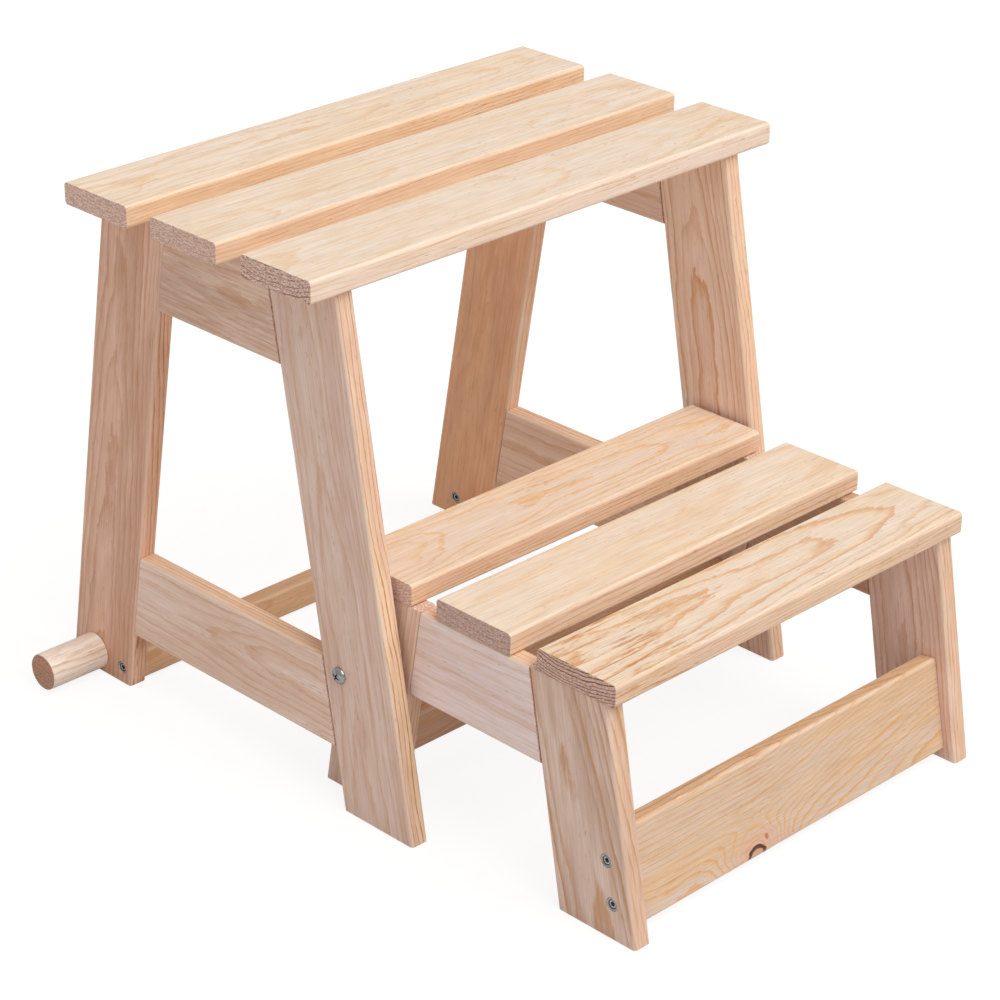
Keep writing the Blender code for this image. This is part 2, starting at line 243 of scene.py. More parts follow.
class PineWiring(Wiring):
    """Solid pine in a board's own axes; each method adds one feature of the wood."""

    def __init__(self, tree):
        super().__init__(tree)
        self.given = self.node("NodeGroupInput").outputs
        coords = self.node("ShaderNodeTexCoord")
        self.normal = coords.outputs["Normal"]
        from_centre = self.vector("SUBTRACT", coords.outputs["Object"], self.given["Centre"])
        self.u = self.vector("DOT_PRODUCT", from_centre, self.given["Along"])
        self.v = self.vector("DOT_PRODUCT", from_centre, self.given["Across"])
        self.t = self.vector("DOT_PRODUCT", from_centre, self.given["Through"])
        self.place = self.join(self.u, self.v, self.t)
        seed = self.given["Seed"]
        self.shift = self.vector("MULTIPLY", self.join(seed, seed, seed), (3.17, 5.71, 9.13))
        self.quick = self.swing(QUICK_BENDS, 2.0, 0.5, self.shift)
        self.fibre = self.swing(FIBRES, 4.0, 0.68, self.shift)
        self.streak = self.swing(STREAKS, 3.0, 0.65, self.shift)
        self.narrow = self.facing("Across", 0.35)
        self.end = self.facing("Along", 0.55)

    def swing(self, scale, detail, rough, shift=None):
        """Noise about 0."""
        return self.minus(self.noise(self.place, scale, detail, rough, shift), 0.5)

    def facing(self, axis, low):
        """1 on faces square to one of the board's axes, 0 on faces along it."""
        turned = self.vector("DOT_PRODUCT", self.normal, self.given[axis])
        return self.ramp(self.math("ABSOLUTE", turned), low, 0.90)

    def trunk_radius(self):
        """Distance from the pith line, bent by slow and by quick wandering of the trunk."""
        taper, pith_v, pith_t = self.split(self.given["Pith"])
        _, lean_v, lean_t = self.split(self.given["Lean"])
        off_v = self.minus(self.minus(self.v, pith_v), self.times(self.u, lean_v))
        off_t = self.minus(self.minus(self.t, pith_t), self.times(self.u, lean_t))
        radius = self.vector("LENGTH", self.join(off_v, off_t, 0.0))
        radius = self.times_plus(self.u, taper, radius)
        slow = self.swing(SLOW_BENDS, 1.5, 0.5, self.shift)
        radius = self.times_plus(slow, self.given["Wander"], radius)
        radius = self.times_plus(self.quick, QUICK_REACH, radius)
        fuzz = self.swing(FUZZ, 2.0, 0.5)
        radius = self.times_plus(fuzz, FUZZ_REACH, radius)
        jagged = self.swing(JAGS, 2.0, 0.6, self.shift)
        return self.times_plus(jagged, JAG_REACH, radius)

    def drawn_aside(self, radius):
        """The rings' radius where a knot swells them and spreads them beyond it."""
        knot_u, knot_v, knot_size = self.split(self.given["Knot"])
        past = self.minus(self.u, knot_u)
        self.knot_du = self.math("DIVIDE", past, self.times(knot_size, 1.75))
        self.knot_dv = self.math("DIVIDE", self.minus(self.v, knot_v), knot_size)
        knot_r = self.vector("LENGTH", self.join(self.knot_du, self.knot_dv, 0.0))
        self.knot_r = self.times_plus(self.quick, 1.3, knot_r)
        fade = self.times(self.math("POWER", self.knot_r, 2.0), -0.11)
        self.swell = self.math("EXPONENT", fade)
        radius = self.times_plus(self.swell, self.given["Pull"], radius)
        beyond = self.math("MAXIMUM", past, 0.0)
        return self.times_plus(beyond, self.given["Fan"], radius)

    def rings(self, radius):
        """Sets warm and late: a ring's early wood warms to late wood, which ends more sharply."""
        seed = self.given["Seed"]
        uneven = self.noise(self.join(radius, seed, 0.0), (70.0, 1.0, 1.0), 1.0)
        turns = self.math("DIVIDE", radius, self.given["Ring"])
        turns = self.math("ADD", turns, self.times(uneven, 1.6))
        phase = self.math("FRACT", turns)
        which = self.node("ShaderNodeTexWhiteNoise", noise_dimensions="2D")
        self.feed(which.inputs["Vector"], self.join(self.math("FLOOR", turns), seed, 0.0))
        weight = self.ramp(which.outputs["Value"], 0.0, 1.0, 0.45, 1.0)
        fall = self.times(self.ramp(phase, 0.93, 1.0, 1.0, 0.0), weight)
        rise = self.math("POWER", self.ramp(phase, 0.15, 0.85), 1.6)
        self.warm = self.times(rise, fall)
        self.late = self.times(self.ramp(phase, 0.62, 0.91), fall)

    def long_grain(self):
        """Colour of the faces along the board; the narrow ones cut across more late wood."""
        patch_shift = self.vector("MULTIPLY", self.shift, (1.7, 2.3, 0.6))
        patch = self.ramp(self.noise(self.place, PATCHES, 4.0, 0.55, patch_shift), 0.46, 0.60)
        pale = self.mix(self.narrow, self.given["Early"], self.given["Band"])
        side = self.mix(self.times(patch, self.given["Heart"]), pale, self.given["Red"])
        warm = self.times(self.warm, self.given["Strength"])
        warm = self.times(warm, 1.15, clamp=True)
        side = self.mix(warm, side, self.given["Red"])

        dashes = self.noise(self.place, DASHES, 3.0, 0.6, self.shift)
        dashes = self.ramp(dashes, 0.36, 0.60, 0.45, 1.25)
        inked = self.times(self.late, self.ramp(self.narrow, 0.0, 1.0, 1.0, dashes))
        ink = self.mix(self.times(self.narrow, 0.35), self.given["Late"], EDGE_INK)
        strength = self.ramp(self.narrow, 0.0, 1.0, self.given["Strength"], self.given["Edge"])
        side = self.mix(self.times(inked, strength), side, ink)

        tone = self.times_plus(self.fibre, 0.80, 1.0)
        tone = self.times_plus(self.streak, 0.26, tone)
        mottle_shift = self.vector("MULTIPLY", self.shift, (0.7, 1.1, 2.1))
        mottle = self.swing(MOTTLE, 3.0, 0.6, mottle_shift)
        tone = self.times_plus(mottle, self.given["Cloud"], tone)
        side = self.tint(side, tone)

        ducts = self.ramp(self.noise(self.place, DUCTS, 1.0, 0.5, self.shift), 0.66, 0.76)
        zones = self.ramp(self.noise(self.place, DUCT_ZONES, 2.0), 0.42, 0.62)
        self.ducts = self.times(ducts, zones)
        return self.mix(self.times(self.ducts, 0.62), side, DUCT_BROWN)

    def torn_grain(self, side):
        """Short orange-brown dashes about one place along the board."""
        middle, reach, depth = self.split(self.given["Tear"])
        away = self.math("DIVIDE", self.minus(self.u, middle), reach)
        near = self.math("EXPONENT", self.times(self.times(away, away), -1.0))
        torn = self.ramp(self.noise(self.place, TEARS, 4.0, 0.65, self.shift), 0.50, 0.64)
        narrow_depth = self.math("MAXIMUM", self.times(depth, -1.0), 0.0)
        narrow_depth = self.times(narrow_depth, self.narrow)
        depth = self.math("ADD", self.math("MAXIMUM", depth, 0.0), narrow_depth)
        self.torn = self.times(self.times(torn, near), depth)
        return self.mix(self.torn, side, TORN_ORANGE)

    def knot(self, side):
        """A pink halo, a dark bark line round a reddish core, and a small red split beside it."""
        halo = self.times(self.math("POWER", self.swell, 2.0), 0.80)
        side = self.mix(halo, side, self.mix(0.6, side, KNOT_HALO))
        core = self.ramp(self.knot_r, 0.86, 0.98, 1.0, 0.0)
        side = self.mix(self.times(core, 0.80), side, KNOT_CORE)
        outside = self.ramp(self.knot_r, 1.0, 1.10, 1.0, 0.0)
        self.bark = self.times(self.ramp(self.knot_r, 0.62, 0.82), outside)
        side = self.mix(self.times(self.bark, 0.96), side, KNOT_BARK)
        split_u = self.minus(self.knot_du, 1.05)
        split_v = self.times_plus(split_u, 0.75, self.minus(self.knot_dv, 1.55))
        split_r = self.vector("LENGTH", self.join(self.times(split_u, 3.2),
                                                  self.times(split_v, 1.3), 0.0))
        split_r = self.times_plus(self.quick, 1.2, split_r)
        return self.mix(self.ramp(split_r, 0.20, 0.70, 0.75, 0.0), side, KNOT_SPLIT)

    def end_grain(self):
        """Colour of the sawn ends: greyer, stippled, with the rings as arcs."""
        self.arcs = self.times(self.late, self.given["Arcs"])
        self.stipple = self.swing(STIPPLE, 3.0, 0.75)
        self.saw = self.swing(SAW_MARKS, 2.0, 0.6, self.shift)
        cut = self.mix(self.arcs, self.given["Cut"], CUT_ARC)
        tone = self.times_plus(self.stipple, self.given["Stipple"], 1.0)
        tone = self.times_plus(self.saw, 0.90, tone)
        tone = self.math("MAXIMUM", self.math("MINIMUM", tone, 1.35), 0.35)
        return self.shade(cut, tone)

    def sanded_and_highlight(self, colour):
        """Sanded roundings are a little paler: partly real sanding, partly a painted highlight
        along the rounded long edges.
        """
        _, half_v, half_t = self.split(self.given["Half"])
        inside_v = self.minus(half_v, self.math("ABSOLUTE", self.v))
        inside_t = self.minus(half_t, self.math("ABSOLUTE", self.t))
        rim = self.times(self.ramp(inside_v, 0.0, SANDED_REACH, 1.0, 0.0),
                         self.ramp(inside_t, 0.0, SANDED_REACH, 1.0, 0.0))
        rim = self.times(rim, self.minus(1.0, self.end))
        return self.mix(self.times(rim, 0.40), colour, SANDED_AND_HIGHLIGHT)

    def roughness(self):
        rough = self.times_plus(self.fibre, 0.18, 0.56)
        rough = self.times_plus(self.late, -0.06, rough)
        return self.times_plus(self.end, 0.26, rough, clamp=True)

    def relief(self):
        """Height in metres, finer on planed faces than on sawn ends."""
        planed = self.times(self.fibre, 0.000045)
        for feature, height in ((self.streak, 0.00004), (self.late, 0.000035),
                                (self.ducts, -0.00003), (self.bark, -0.00025),
                                (self.torn, -0.00012)):
            planed = self.times_plus(feature, height, planed)
        sawn = self.times_plus(self.saw, 0.00025, self.times(self.stipple, 0.0005))
        sawn = self.times_plus(self.arcs, -0.00035, sawn)
        planed = self.times(planed, self.minus(1.0, self.end))
        return self.math("ADD", planed, self.times(sawn, self.end))


def pine_group():
    """The node group that every wooden piece shares."""
    tree = bpy.data.node_groups.new("solid_pine", "ShaderNodeTree")
    for kind, names in PINE_INPUTS.items():
        for name in names.split():
            tree.interface.new_socket(name, in_out="INPUT", socket_type=kind)
    for name, kind in (("Color", "NodeSocketColor"), ("Roughness", "NodeSocketFloat"),
                       ("Height", "NodeSocketFloat")):
        tree.interface.new_socket(name, in_out="OUTPUT", socket_type=kind)
    w = PineWiring(tree)
    w.rings(w.drawn_aside(w.trunk_radius()))
    side = w.knot(w.torn_grain(w.long_grain()))
    colour = w.sanded_and_highlight(w.mix(w.end, side, w.end_grain()))
    made = w.node("NodeGroupOutput")
    w.feed(made.inputs["Color"], colour)
    w.feed(made.inputs["Roughness"], w.roughness())
    w.feed(made.inputs["Height"], w.relief())
    return tree


PINE = pine_group()
LATE = (0.700, 0.340, 0.130)
HONEY = (0.790, 0.450, 0.190)
RED = (0.810, 0.520, 0.370)
GOLD = (0.885, 0.650, 0.420)
CREAM = (0.870, 0.725, 0.585)
CUT = (0.830, 0.570, 0.460)
# Pinker wood of the legs and rails: partly their own colour, partly painted shade, the pinkish
# tint of their shaded side faces
PINK = (0.880, 0.650, 0.530)
# Saturated orange of the rear right leg: painted warm bounce light on its shaded inner face
AMBER = (0.990, 0.560, 0.320)
BAND = (0.880, 0.600, 0.410)
NO_KNOT = (9.0, 9.0, 0.01)
NO_TEAR = (9.0, 0.01, 0.0)

# How each board was sawn from its trunk. pith is the place of the trunk's middle beside the
# board's own (across, through), taper and lean how it runs off along the board, ring the rings'
# width, wander how far they stray, strength and edge the late wood's weight on broad and narrow
# faces, heart the share of reddish wood, cloud the depth of soft blotches, and arcs and stipple
# the end grain's contrast. early and band are the pale wood of broad and narrow faces, late and
# red the rings' and the patches' colour, and cut the sawn ends'. knot is (along, across, size),
# pull and fan how far it swells the rings and spreads them beyond it. tear is (along, reach,
# depth) of torn grain, with a depth below zero where only the narrow faces are torn.
# Some early and band colours here and in LOOKS also hold painted light and shade, as noted at
# them.
DEFAULT_LOOK = dict(seed=1.0, pith=(0.008, -0.055), taper=0.020, lean=(0.0, 0.0), ring=0.0034,
                    wander=0.014, strength=0.50, edge=0.95, heart=0.40, cloud=0.16, arcs=0.35,
                    stipple=2.6, early=PINK, late=LATE, red=RED, cut=CUT, band=BAND, knot=NO_KNOT,
                    pull=0.0, fan=0.0, tear=NO_TEAR)
SLAT = dict(early=CREAM, red=GOLD, late=HONEY)
PEG = dict(ring=0.0040, early=(0.97, 0.86, 0.75), cut=(0.56, 0.31, 0.21),
           band=(0.97, 0.86, 0.75), edge=0.5)
LOOKS = {
    "top_slat_rear": dict(SLAT, seed=2.0, pith=(0.006, 0.090), ring=0.0028, wander=0.016,
                          strength=0.42, band=(0.90, 0.62, 0.40)),
    "top_slat_middle": dict(SLAT, seed=3.3, pith=(-0.010, 0.095), ring=0.0030, strength=0.36),
    "top_slat_front": dict(SLAT, seed=4.1, pith=(0.004, 0.120), ring=0.0036, strength=0.32,
                           edge=0.40, stipple=4.8, arcs=0.75, band=(0.88, 0.70, 0.58)),
    "step_slat_rear": dict(SLAT, seed=5.2, pith=(0.0, 0.080), ring=0.0028, strength=0.66,
                           edge=1.0, heart=0.45, early=(0.83, 0.665, 0.54),
                           band=(0.86, 0.57, 0.40)),
    "step_slat_middle": dict(SLAT, seed=6.4, pith=(0.0, 0.240), taper=0.008, ring=0.0050,
                             wander=0.012, strength=0.34, edge=0.90, band=(0.84, 0.60, 0.44),
                             cut=(0.66, 0.45, 0.37)),
    # Partly painted shade: low on the step, its front face is darker, as light falls off towards
    # the floor
    "step_slat_front": dict(SLAT, seed=7.5, pith=(0.008, 0.120), taper=0.024, ring=0.0030,
                            wander=0.008, strength=0.62, edge=0.80, heart=0.45, arcs=1.5,
                            stipple=2.8, late=LATE, band=(0.74, 0.52, 0.39),
                            cut=(0.78, 0.51, 0.40), tear=(-0.160, 0.070, 0.85)),
    # Partly painted shade: low on the step, its broad face is darker, as light falls off towards
    # the floor
    "step_front_stretcher": dict(seed=8.6, pith=(-0.050, 0.050), taper=0.010, ring=0.0034,
                                 knot=(-0.051, -0.0395, 0.0068), pull=0.028, fan=-0.12,
                                 strength=0.90, early=(0.66, 0.505, 0.395), heart=0.5,
                                 red=(0.73, 0.47, 0.25), late=(0.66, 0.35, 0.16),
                                 band=(0.80, 0.55, 0.38), tear=(-0.051, 0.030, 0.35)),
    "rear_leg_left": dict(seed=21.0, early=(0.89, 0.555, 0.40), red=(0.66, 0.36, 0.23), heart=0.55,
                          strength=0.45, cloud=0.30, band=(0.99, 0.62, 0.44), edge=1.3,
                          late=(0.64, 0.28, 0.13), tear=(-0.225, 0.060, -2.0)),
    # Painted bounce light: AMBER stands in for warm light bounced onto its shaded inner face
    "rear_leg_right": dict(seed=22.3, early=AMBER, red=(0.84, 0.43, 0.25), heart=0.5, cloud=0.34,
                           strength=0.20),
    "front_leg_left": dict(seed=23.1, band=(0.90, 0.64, 0.43), edge=1.5, strength=0.32, heart=0.65,
                           red=(0.76, 0.49, 0.38), cloud=0.22),
    "front_leg_right": dict(seed=24.9, strength=0.70, early=(0.95, 0.71, 0.57)),
    "bottom_rail_left": dict(seed=25.2, strength=0.40, early=(0.95, 0.71, 0.58)),
    "bottom_rail_right": dict(seed=26.8, early=(0.99, 0.70, 0.52), red=(0.93, 0.62, 0.45)),
    "top_rail_left": dict(seed=33.2, early=(0.90, 0.65, 0.51), red=(0.66, 0.41, 0.30), heart=0.55,
                          cloud=0.26, tear=(0.0, 0.120, 0.40)),
    # Partly painted light: paler wood, partly its own and partly for the extra light on its outer
    # face
    "step_rail_left": dict(seed=27.4, strength=0.22, early=(0.97, 0.79, 0.73),
                           red=(0.84, 0.61, 0.53)),
    # Painted shade: darker wood for the shade under the step slats on its inner face
    "step_rail_right": dict(seed=27.9, early=(0.62, 0.39, 0.26), band=(0.62, 0.39, 0.26)),
    # Partly painted shade: low on the step, its front face is darker, as light falls off towards
    # the floor
    "step_front_leg_left": dict(seed=28.7, strength=0.95, band=(0.76, 0.51, 0.34), edge=1.0,
                                heart=0.60, red=(0.66, 0.43, 0.32), ring=0.0056,
                                lean=(0.14, 0.0), cloud=0.24),
    # Partly painted shade: low on the step, its front face is darker, as light falls off towards
    # the floor
    "step_front_leg_right": dict(seed=31.9, strength=0.60, band=(0.76, 0.51, 0.34), edge=1.0,
                                 early=(0.98, 0.72, 0.62), cloud=0.34, red=(0.80, 0.53, 0.42)),
    # Painted shade: darker, more orange wood for the shade under the top slats
    "rear_batten": dict(seed=35.7, early=(0.80, 0.52, 0.30), band=(0.72, 0.45, 0.24), edge=1.0),
    # Painted shade: darker wood for the shade under the step slats
    "step_rear_stretcher": dict(seed=36.1, early=(0.62, 0.38, 0.23), band=(0.60, 0.36, 0.21),
                                strength=0.8),
    # Painted shade: darker wood for the shade beneath the step
    "step_rear_leg_right": dict(seed=37.9, early=(0.66, 0.42, 0.28), band=(0.66, 0.42, 0.27),
                                strength=0.8, edge=1.0),
    "side_peg_left": dict(PEG, seed=29.5, strength=0.25, red=(0.87, 0.68, 0.51),
                          tear=(0.0, 0.060, 0.30)),
    "side_peg_right": dict(PEG, seed=30.5),
}
# The other wooden pieces differ by their seed
for index, node in enumerate(sorted(n for n in SLOT if "pine" in SLOT[n])):
    LOOKS.setdefault(node, dict(seed=41.0 + 1.37 * index))


def shader_material(name):
    """A new material, its wiring helper and its Principled shader."""
    mat = bpy.data.materials.new(name)
    mat.use_nodes = True
    return mat, Wiring(mat.node_tree), mat.node_tree.nodes["Principled BSDF"]


def pine_material(name, look, centre, along, across, through, half):
    mat, w, shader = shader_material(name)
    group = w.node("ShaderNodeGroup")
    group.node_tree = PINE
    look = {**DEFAULT_LOOK, **look}
    values = {**look, "centre": centre, "along": along, "across": across, "through": through,
              "half": half, "pith": (look["taper"], *look["pith"]), "lean": (0.0, *look["lean"])}
    for kind, names in PINE_INPUTS.items():
        for socket in names.split():
            value = values[socket.lower()]
            opaque = (*value, 1.0) if kind == "NodeSocketColor" else value
            group.inputs[socket].default_value = opaque
    bump = w.node("ShaderNodeBump")
    bump.inputs["Distance"].default_value = 1.0
    bump.inputs["Strength"].default_value = 0.8
    w.feed(bump.inputs["Height"], group.outputs["Height"])
    w.feed(shader.inputs["Base Color"], group.outputs["Color"])
    w.feed(shader.inputs["Roughness"], group.outputs["Roughness"])
    w.feed(shader.inputs["Normal"], bump.outputs["Normal"])
    shader.inputs["Specular IOR Level"].default_value = 0.35
    return mat


def zinc_material(name, tone, rough, head=None):
    """Bright zinc plate: cloudy tone, fine scratches and small dark pits.

    head is the middle of a screw's head. A dark ring on its dish is painted shade and dark
    reflection, and its socket is darkened with painted shade.
    """
    mat, w, shader = shader_material(name)
    place = w.node("ShaderNodeTexCoord").outputs["Object"]
    cloud = w.noise(place, (420.0, 420.0, 420.0), 3.0, 0.6)
    scratch = w.noise(place, (500.0, 6000.0, 700.0), 2.0, 0.6)
    pits = w.ramp(w.noise(place, (2600.0, 2600.0, 2600.0), 2.0), 0.62, 0.74)
    colour = w.mix(w.ramp(cloud, 0.35, 0.65), (0.56 * tone, 0.60 * tone, 0.60 * tone, 1.0),
                   (0.80 * tone, 0.82 * tone, 0.83 * tone, 1.0))
    colour = w.mix(w.times(pits, 0.5), colour, (0.36, 0.37, 0.36, 1.0))
    if head is not None:
        _, off_y, off_z = w.split(w.vector("SUBTRACT", place, head))
        out = w.vector("LENGTH", w.join(0.0, off_y, off_z))
        # Painted shade and dark reflection: a dark ring on the sloping dish of the head
        painted_dish_shade = w.times(w.ramp(out, 0.0030, 0.0033), w.ramp(out, 0.0041, 0.0045, 1.0, 0.0))
        # Painted shade: the inside of the hexagon socket darkened
        pit = w.ramp(out, 0.0019, 0.0023, 1.0, 0.0)
        colour = w.mix(w.times(painted_dish_shade, 0.94), colour, (0.07, 0.08, 0.09, 1.0))
        colour = w.mix(w.times(pit, 0.85), colour, (0.05, 0.055, 0.06, 1.0))
    w.feed(shader.inputs["Base Color"], colour)
    shader.inputs["Metallic"].default_value = 1.0
    roughness = w.times_plus(w.minus(scratch, 0.5), 0.25, rough)
    w.feed(shader.inputs["Roughness"], w.times_plus(pits, 0.2, roughness, clamp=True))
    bump = w.node("ShaderNodeBump")
    bump.inputs["Distance"].default_value = 1.0
    height = w.times_plus(scratch, 0.000012, w.times(cloud, 0.00002))
    w.feed(bump.inputs["Height"], height)
    w.feed(shader.inputs["Normal"], bump.outputs["Normal"])
    return mat


ZINC_PIVOT = zinc_material("zinc_pivot", 0.66, 0.17)


# --- Meshes ---------------------------------------------------------------------
def finish_mesh(bm, name):
    bmesh.ops.recalc_face_normals(bm, faces=bm.faces)
    mesh = bpy.data.meshes.new(name)
    bm.to_mesh(mesh)
    bm.free()
    return mesh


def piece(name, mesh, material, node, smooth_angle=40.0):
    """A shown object that takes a CAD node's place and body, with the given material."""
    item = bpy.data.objects.new(name, mesh)
    bpy.context.scene.collection.objects.link(item)
    mesh.materials.append(material)
    mesh.shade_smooth()
    mesh.set_sharp_from_angle(angle=math.radians(smooth_angle))
    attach(item, BODY[node])
    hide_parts(node)
    return item


def carve(item, cutters, operation="DIFFERENCE"):
    """Cuts the cutters, given as meshes, out of a piece and keeps the result as its mesh."""
    tools = []
    for index, mesh in enumerate(cutters):
        tool = bpy.data.objects.new(f"{item.name}_cut_{index}", mesh)
        bpy.context.scene.collection.objects.link(tool)
        mod = item.modifiers.new(tool.name, "BOOLEAN")
        mod.operation = operation
        mod.solver = "EXACT"
        mod.object = tool
        tools.append(tool)
    if not tools:
        return
    graph = bpy.context.evaluated_depsgraph_get()
    result = bpy.data.meshes.new_from_object(item.evaluated_get(graph), depsgraph=graph)
    item.modifiers.clear()
    item.data = result
    for tool in tools:
        bpy.data.objects.remove(tool)


def shade(item, angle):
    """Smooth shading that keeps edges over the angle sharp and big faces flat."""
    item.data.shade_smooth()
    item.data.set_sharp_from_angle(angle=math.radians(angle))
    mod = item.modifiers.new("flat_faces", "WEIGHTED_NORMAL")
    mod.keep_sharp = True
    mod.weight = 60


def section(width, thickness, radius, step=0.009):
    """Points (across, through) round a rectangle with rounded corners, counter-clockwise."""
    points = []
    half_w = width / 2 - radius
    half_t = thickness / 2 - radius
    corners = ((half_w, half_t, 0), (-half_w, half_t, 90), (-half_w, -half_t, 180),
               (half_w, -half_t, 270))
    segments = 6

    def on_corner(corner, turned):
        middle_v, middle_t, start = corner
        angle = math.radians(start + turned)
        return (middle_v + radius * math.cos(angle), middle_t + radius * math.sin(angle))

    for index, corner in enumerate(corners):
        points += [on_corner(corner, 90 * k / segments) for k in range(segments + 1)]
        a = points[-1]
        b = on_corner(corners[(index + 1) % 4], 0)
        count = max(1, round(math.dist(a, b) / step))
        for k in range(1, count):
            points.append((a[0] + (b[0] - a[0]) * k / count, a[1] + (b[1] - a[1]) * k / count))
    return points


class Board:
    """A plank in its own axes, with sawn ends that may lean."""

    def __init__(self, node, centre, along, across, through, width, thickness, low_cut, high_cut):
        self.node = node
        self.centre = Vector(centre)
        self.along = along.normalized()
        self.across = across.normalized()
        self.through = through.normalized()
        self.width = width
        self.thickness = thickness
        self.cuts = (low_cut, high_cut)    # (point, normal) of each sawn end
        self.joins = []
        self.cutters = []

    def at(self, u, v, t):
        return self.centre + self.along * u + self.across * v + self.through * t

    def reach(self, which, v, t):
        """How far along the board its end plane lies, at a place across and through."""
        point, normal = self.cuts[which]
        rest = (Vector(point) - self.at(0.0, v, t)).dot(normal)
        return rest / self.along.dot(normal)

    def length(self):
        return self.reach(1, 0.0, 0.0) - self.reach(0, 0.0, 0.0)

    def wear(self, u, v, t):
        """How far inwards the surface lies at a place: slow waves, and dents on the long edges."""
        wave = noise.noise(Vector((u * 9, v * 30, t * 60 + self.centre.x * 40)))
        dent = noise.noise(Vector((u * 85, v * 60 + 7, t * 60 + self.centre.y * 90)))
        corner = min(1.0, max(0.0, abs(v) - self.width / 2 + ROUND) / ROUND)
        depth = WAVE_DEPTH * (0.5 + 0.5 * wave) + DENT_DEPTH * max(0.0, dent - 0.42) * corner
        inward = self.across * -math.copysign(corner, v)
        if abs(t) > self.thickness / 2 - ROUND:
            inward -= self.through * math.copysign(1.0, t)
        return inward * depth

    def mesh(self):
        """Sections from one sawn end to the other, closer together at the eased ends."""
        length = self.length()
        spans = max(8, round(length / SPAN))
        eased = []
        for k in range(EASE_STEPS, -1, -1):
            angle = math.pi / 2 * k / EASE_STEPS
            eased.append((EASE * (1 - math.sin(angle)) / length, EASE * (1 - math.cos(angle))))
        middle = [(k / spans, 0.0) for k in range(1, spans)]
        rings = eased + middle + [(1.0 - share, inset) for share, inset in reversed(eased)]
        bm = bmesh.new()
        loops = []
        for share, inset in rings:
            shape = section(self.width - 2 * inset, self.thickness - 2 * inset, ROUND - inset)
            loop = []
            for v, t in shape:
                low = self.reach(0, v, t)
                high = self.reach(1, v, t)
                u = low + (high - low) * share
                loop.append(bm.verts.new(self.at(u, v, t) + self.wear(u, v, t)))
            loops.append(loop)
        count = len(loops[0])
        for a, b in zip(loops, loops[1:]):
            for i in range(count):
                j = (i + 1) % count
                bm.faces.new((a[i], a[j], b[j], b[i]))
        bm.faces.new(list(reversed(loops[0])))
        bm.faces.new(loops[-1])
        return finish_mesh(bm, self.node)

    def make(self):
        look = LOOKS[self.node]
        half = (self.length() / 2, self.width / 2, self.thickness / 2)
        material = pine_material(f"pine_{self.node}", look, self.centre, self.along,
                                 self.across, self.through, half)
        item = piece(f"{self.node}_wood", self.mesh(), material, self.node)
        carve(item, self.joins, "UNION")
        carve(item, self.cutters)
        shade(item, 40.0)
        return item


def box_middle(node):
    low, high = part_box(node)
    return (low + high) / 2, high - low


def straight_board(node, along, across, through):
    """A board whose sides are square to the row's axes."""
    middle, size = box_middle(node)
    long, wide, thick = (abs(size.dot(axis)) for axis in (along, across, through))
    return Board(node, middle, along, across, through, wide, thick,
                 (middle - along * long / 2, along), (middle + along * long / 2, along))


def tilted_board(node, tilt, width):
    """A stretcher along X whose width leans by tilt about X."""
    middle, size = box_middle(node)
    turn = Matrix.Rotation(tilt, 3, "X")
    return Board(node, middle, X, turn @ Z, turn @ Y, width, BOARD,
                 (middle - X * size.x / 2, X), (middle + X * size.x / 2, X))


def leg_board(node, facing):
    """A leaning leg; facing is 1 where its foot stands out towards +Y."""
    middle, size = box_middle(node)
    run = Vector((0.0, -facing * math.sin(SPLAY), math.cos(SPLAY)))
    across = Vector((0.0, math.cos(SPLAY), facing * math.sin(SPLAY)))
    width = (size.y - size.z * math.tan(SPLAY)) * math.cos(SPLAY)
    return Board(node, middle, run, across, X, width, BOARD,
                 (middle - Z * size.z / 2, Z), (middle + Z * size.z / 2, Z))


def rail_board(node, leg_node):
    """A rail between two legs; its ends lean like them. Its CAD box includes the tenons."""
    middle, size = box_middle(node)
    low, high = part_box(leg_node)
    centre_y = middle.y
    wide = (high.y - low.y) - (high.z - low.z) * math.tan(SPLAY)
    # the leg's inner edge, at the rail's mid height, measured from the frame's middle
    foot = max(abs(low.y - centre_y), abs(high.y - centre_y))
    inner = foot - wide - (middle.z - low.z) * math.tan(SPLAY) - GAP
    normal_high = Vector((0.0, math.cos(SPLAY), math.sin(SPLAY)))
    normal_low = Vector((0.0, -math.cos(SPLAY), math.sin(SPLAY)))
    return Board(node, middle, Y, Z, X, size.z, BOARD,
                 (middle - Y * inner, normal_low), (middle + Y * inner, normal_high))


def lathe(profile, segments, place, axis, shape=None):
    """A round solid: profile is (distance along axis, radius), from one end to the other.

    shape may add to the radius at a distance and an angle.
    """
    axis = axis.normalized()
    side = axis.cross(Z).normalized() if abs(axis.z) < 0.9 else X
    up = side.cross(axis)
    bm = bmesh.new()
    loops = []
    for along, radius in profile:
        if radius <= 1e-7:
            loops.append([bm.verts.new(Vector(place) + axis * along)])
            continue
        loop = []
        for k in range(segments):
            angle = 2 * math.pi * k / segments
            r = radius + (shape(along, angle) if shape else 0.0)
            spot = Vector(place) + axis * along
            spot += (side * math.cos(angle) + up * math.sin(angle)) * r
            loop.append(bm.verts.new(spot))
        loops.append(loop)
    for a, b in zip(loops, loops[1:]):
        for k in range(segments):
            j = (k + 1) % segments
            if len(a) == 1:
                bm.faces.new((a[0], b[k], b[j]))
            elif len(b) == 1:
                bm.faces.new((a[k], b[0], a[j]))
            else:
                bm.faces.new((a[k], a[j], b[j], b[k]))
    for loop in (loops[0], loops[-1]):
        if len(loop) > 1:
            bm.faces.new(loop)
    return finish_mesh(bm, "lathe")


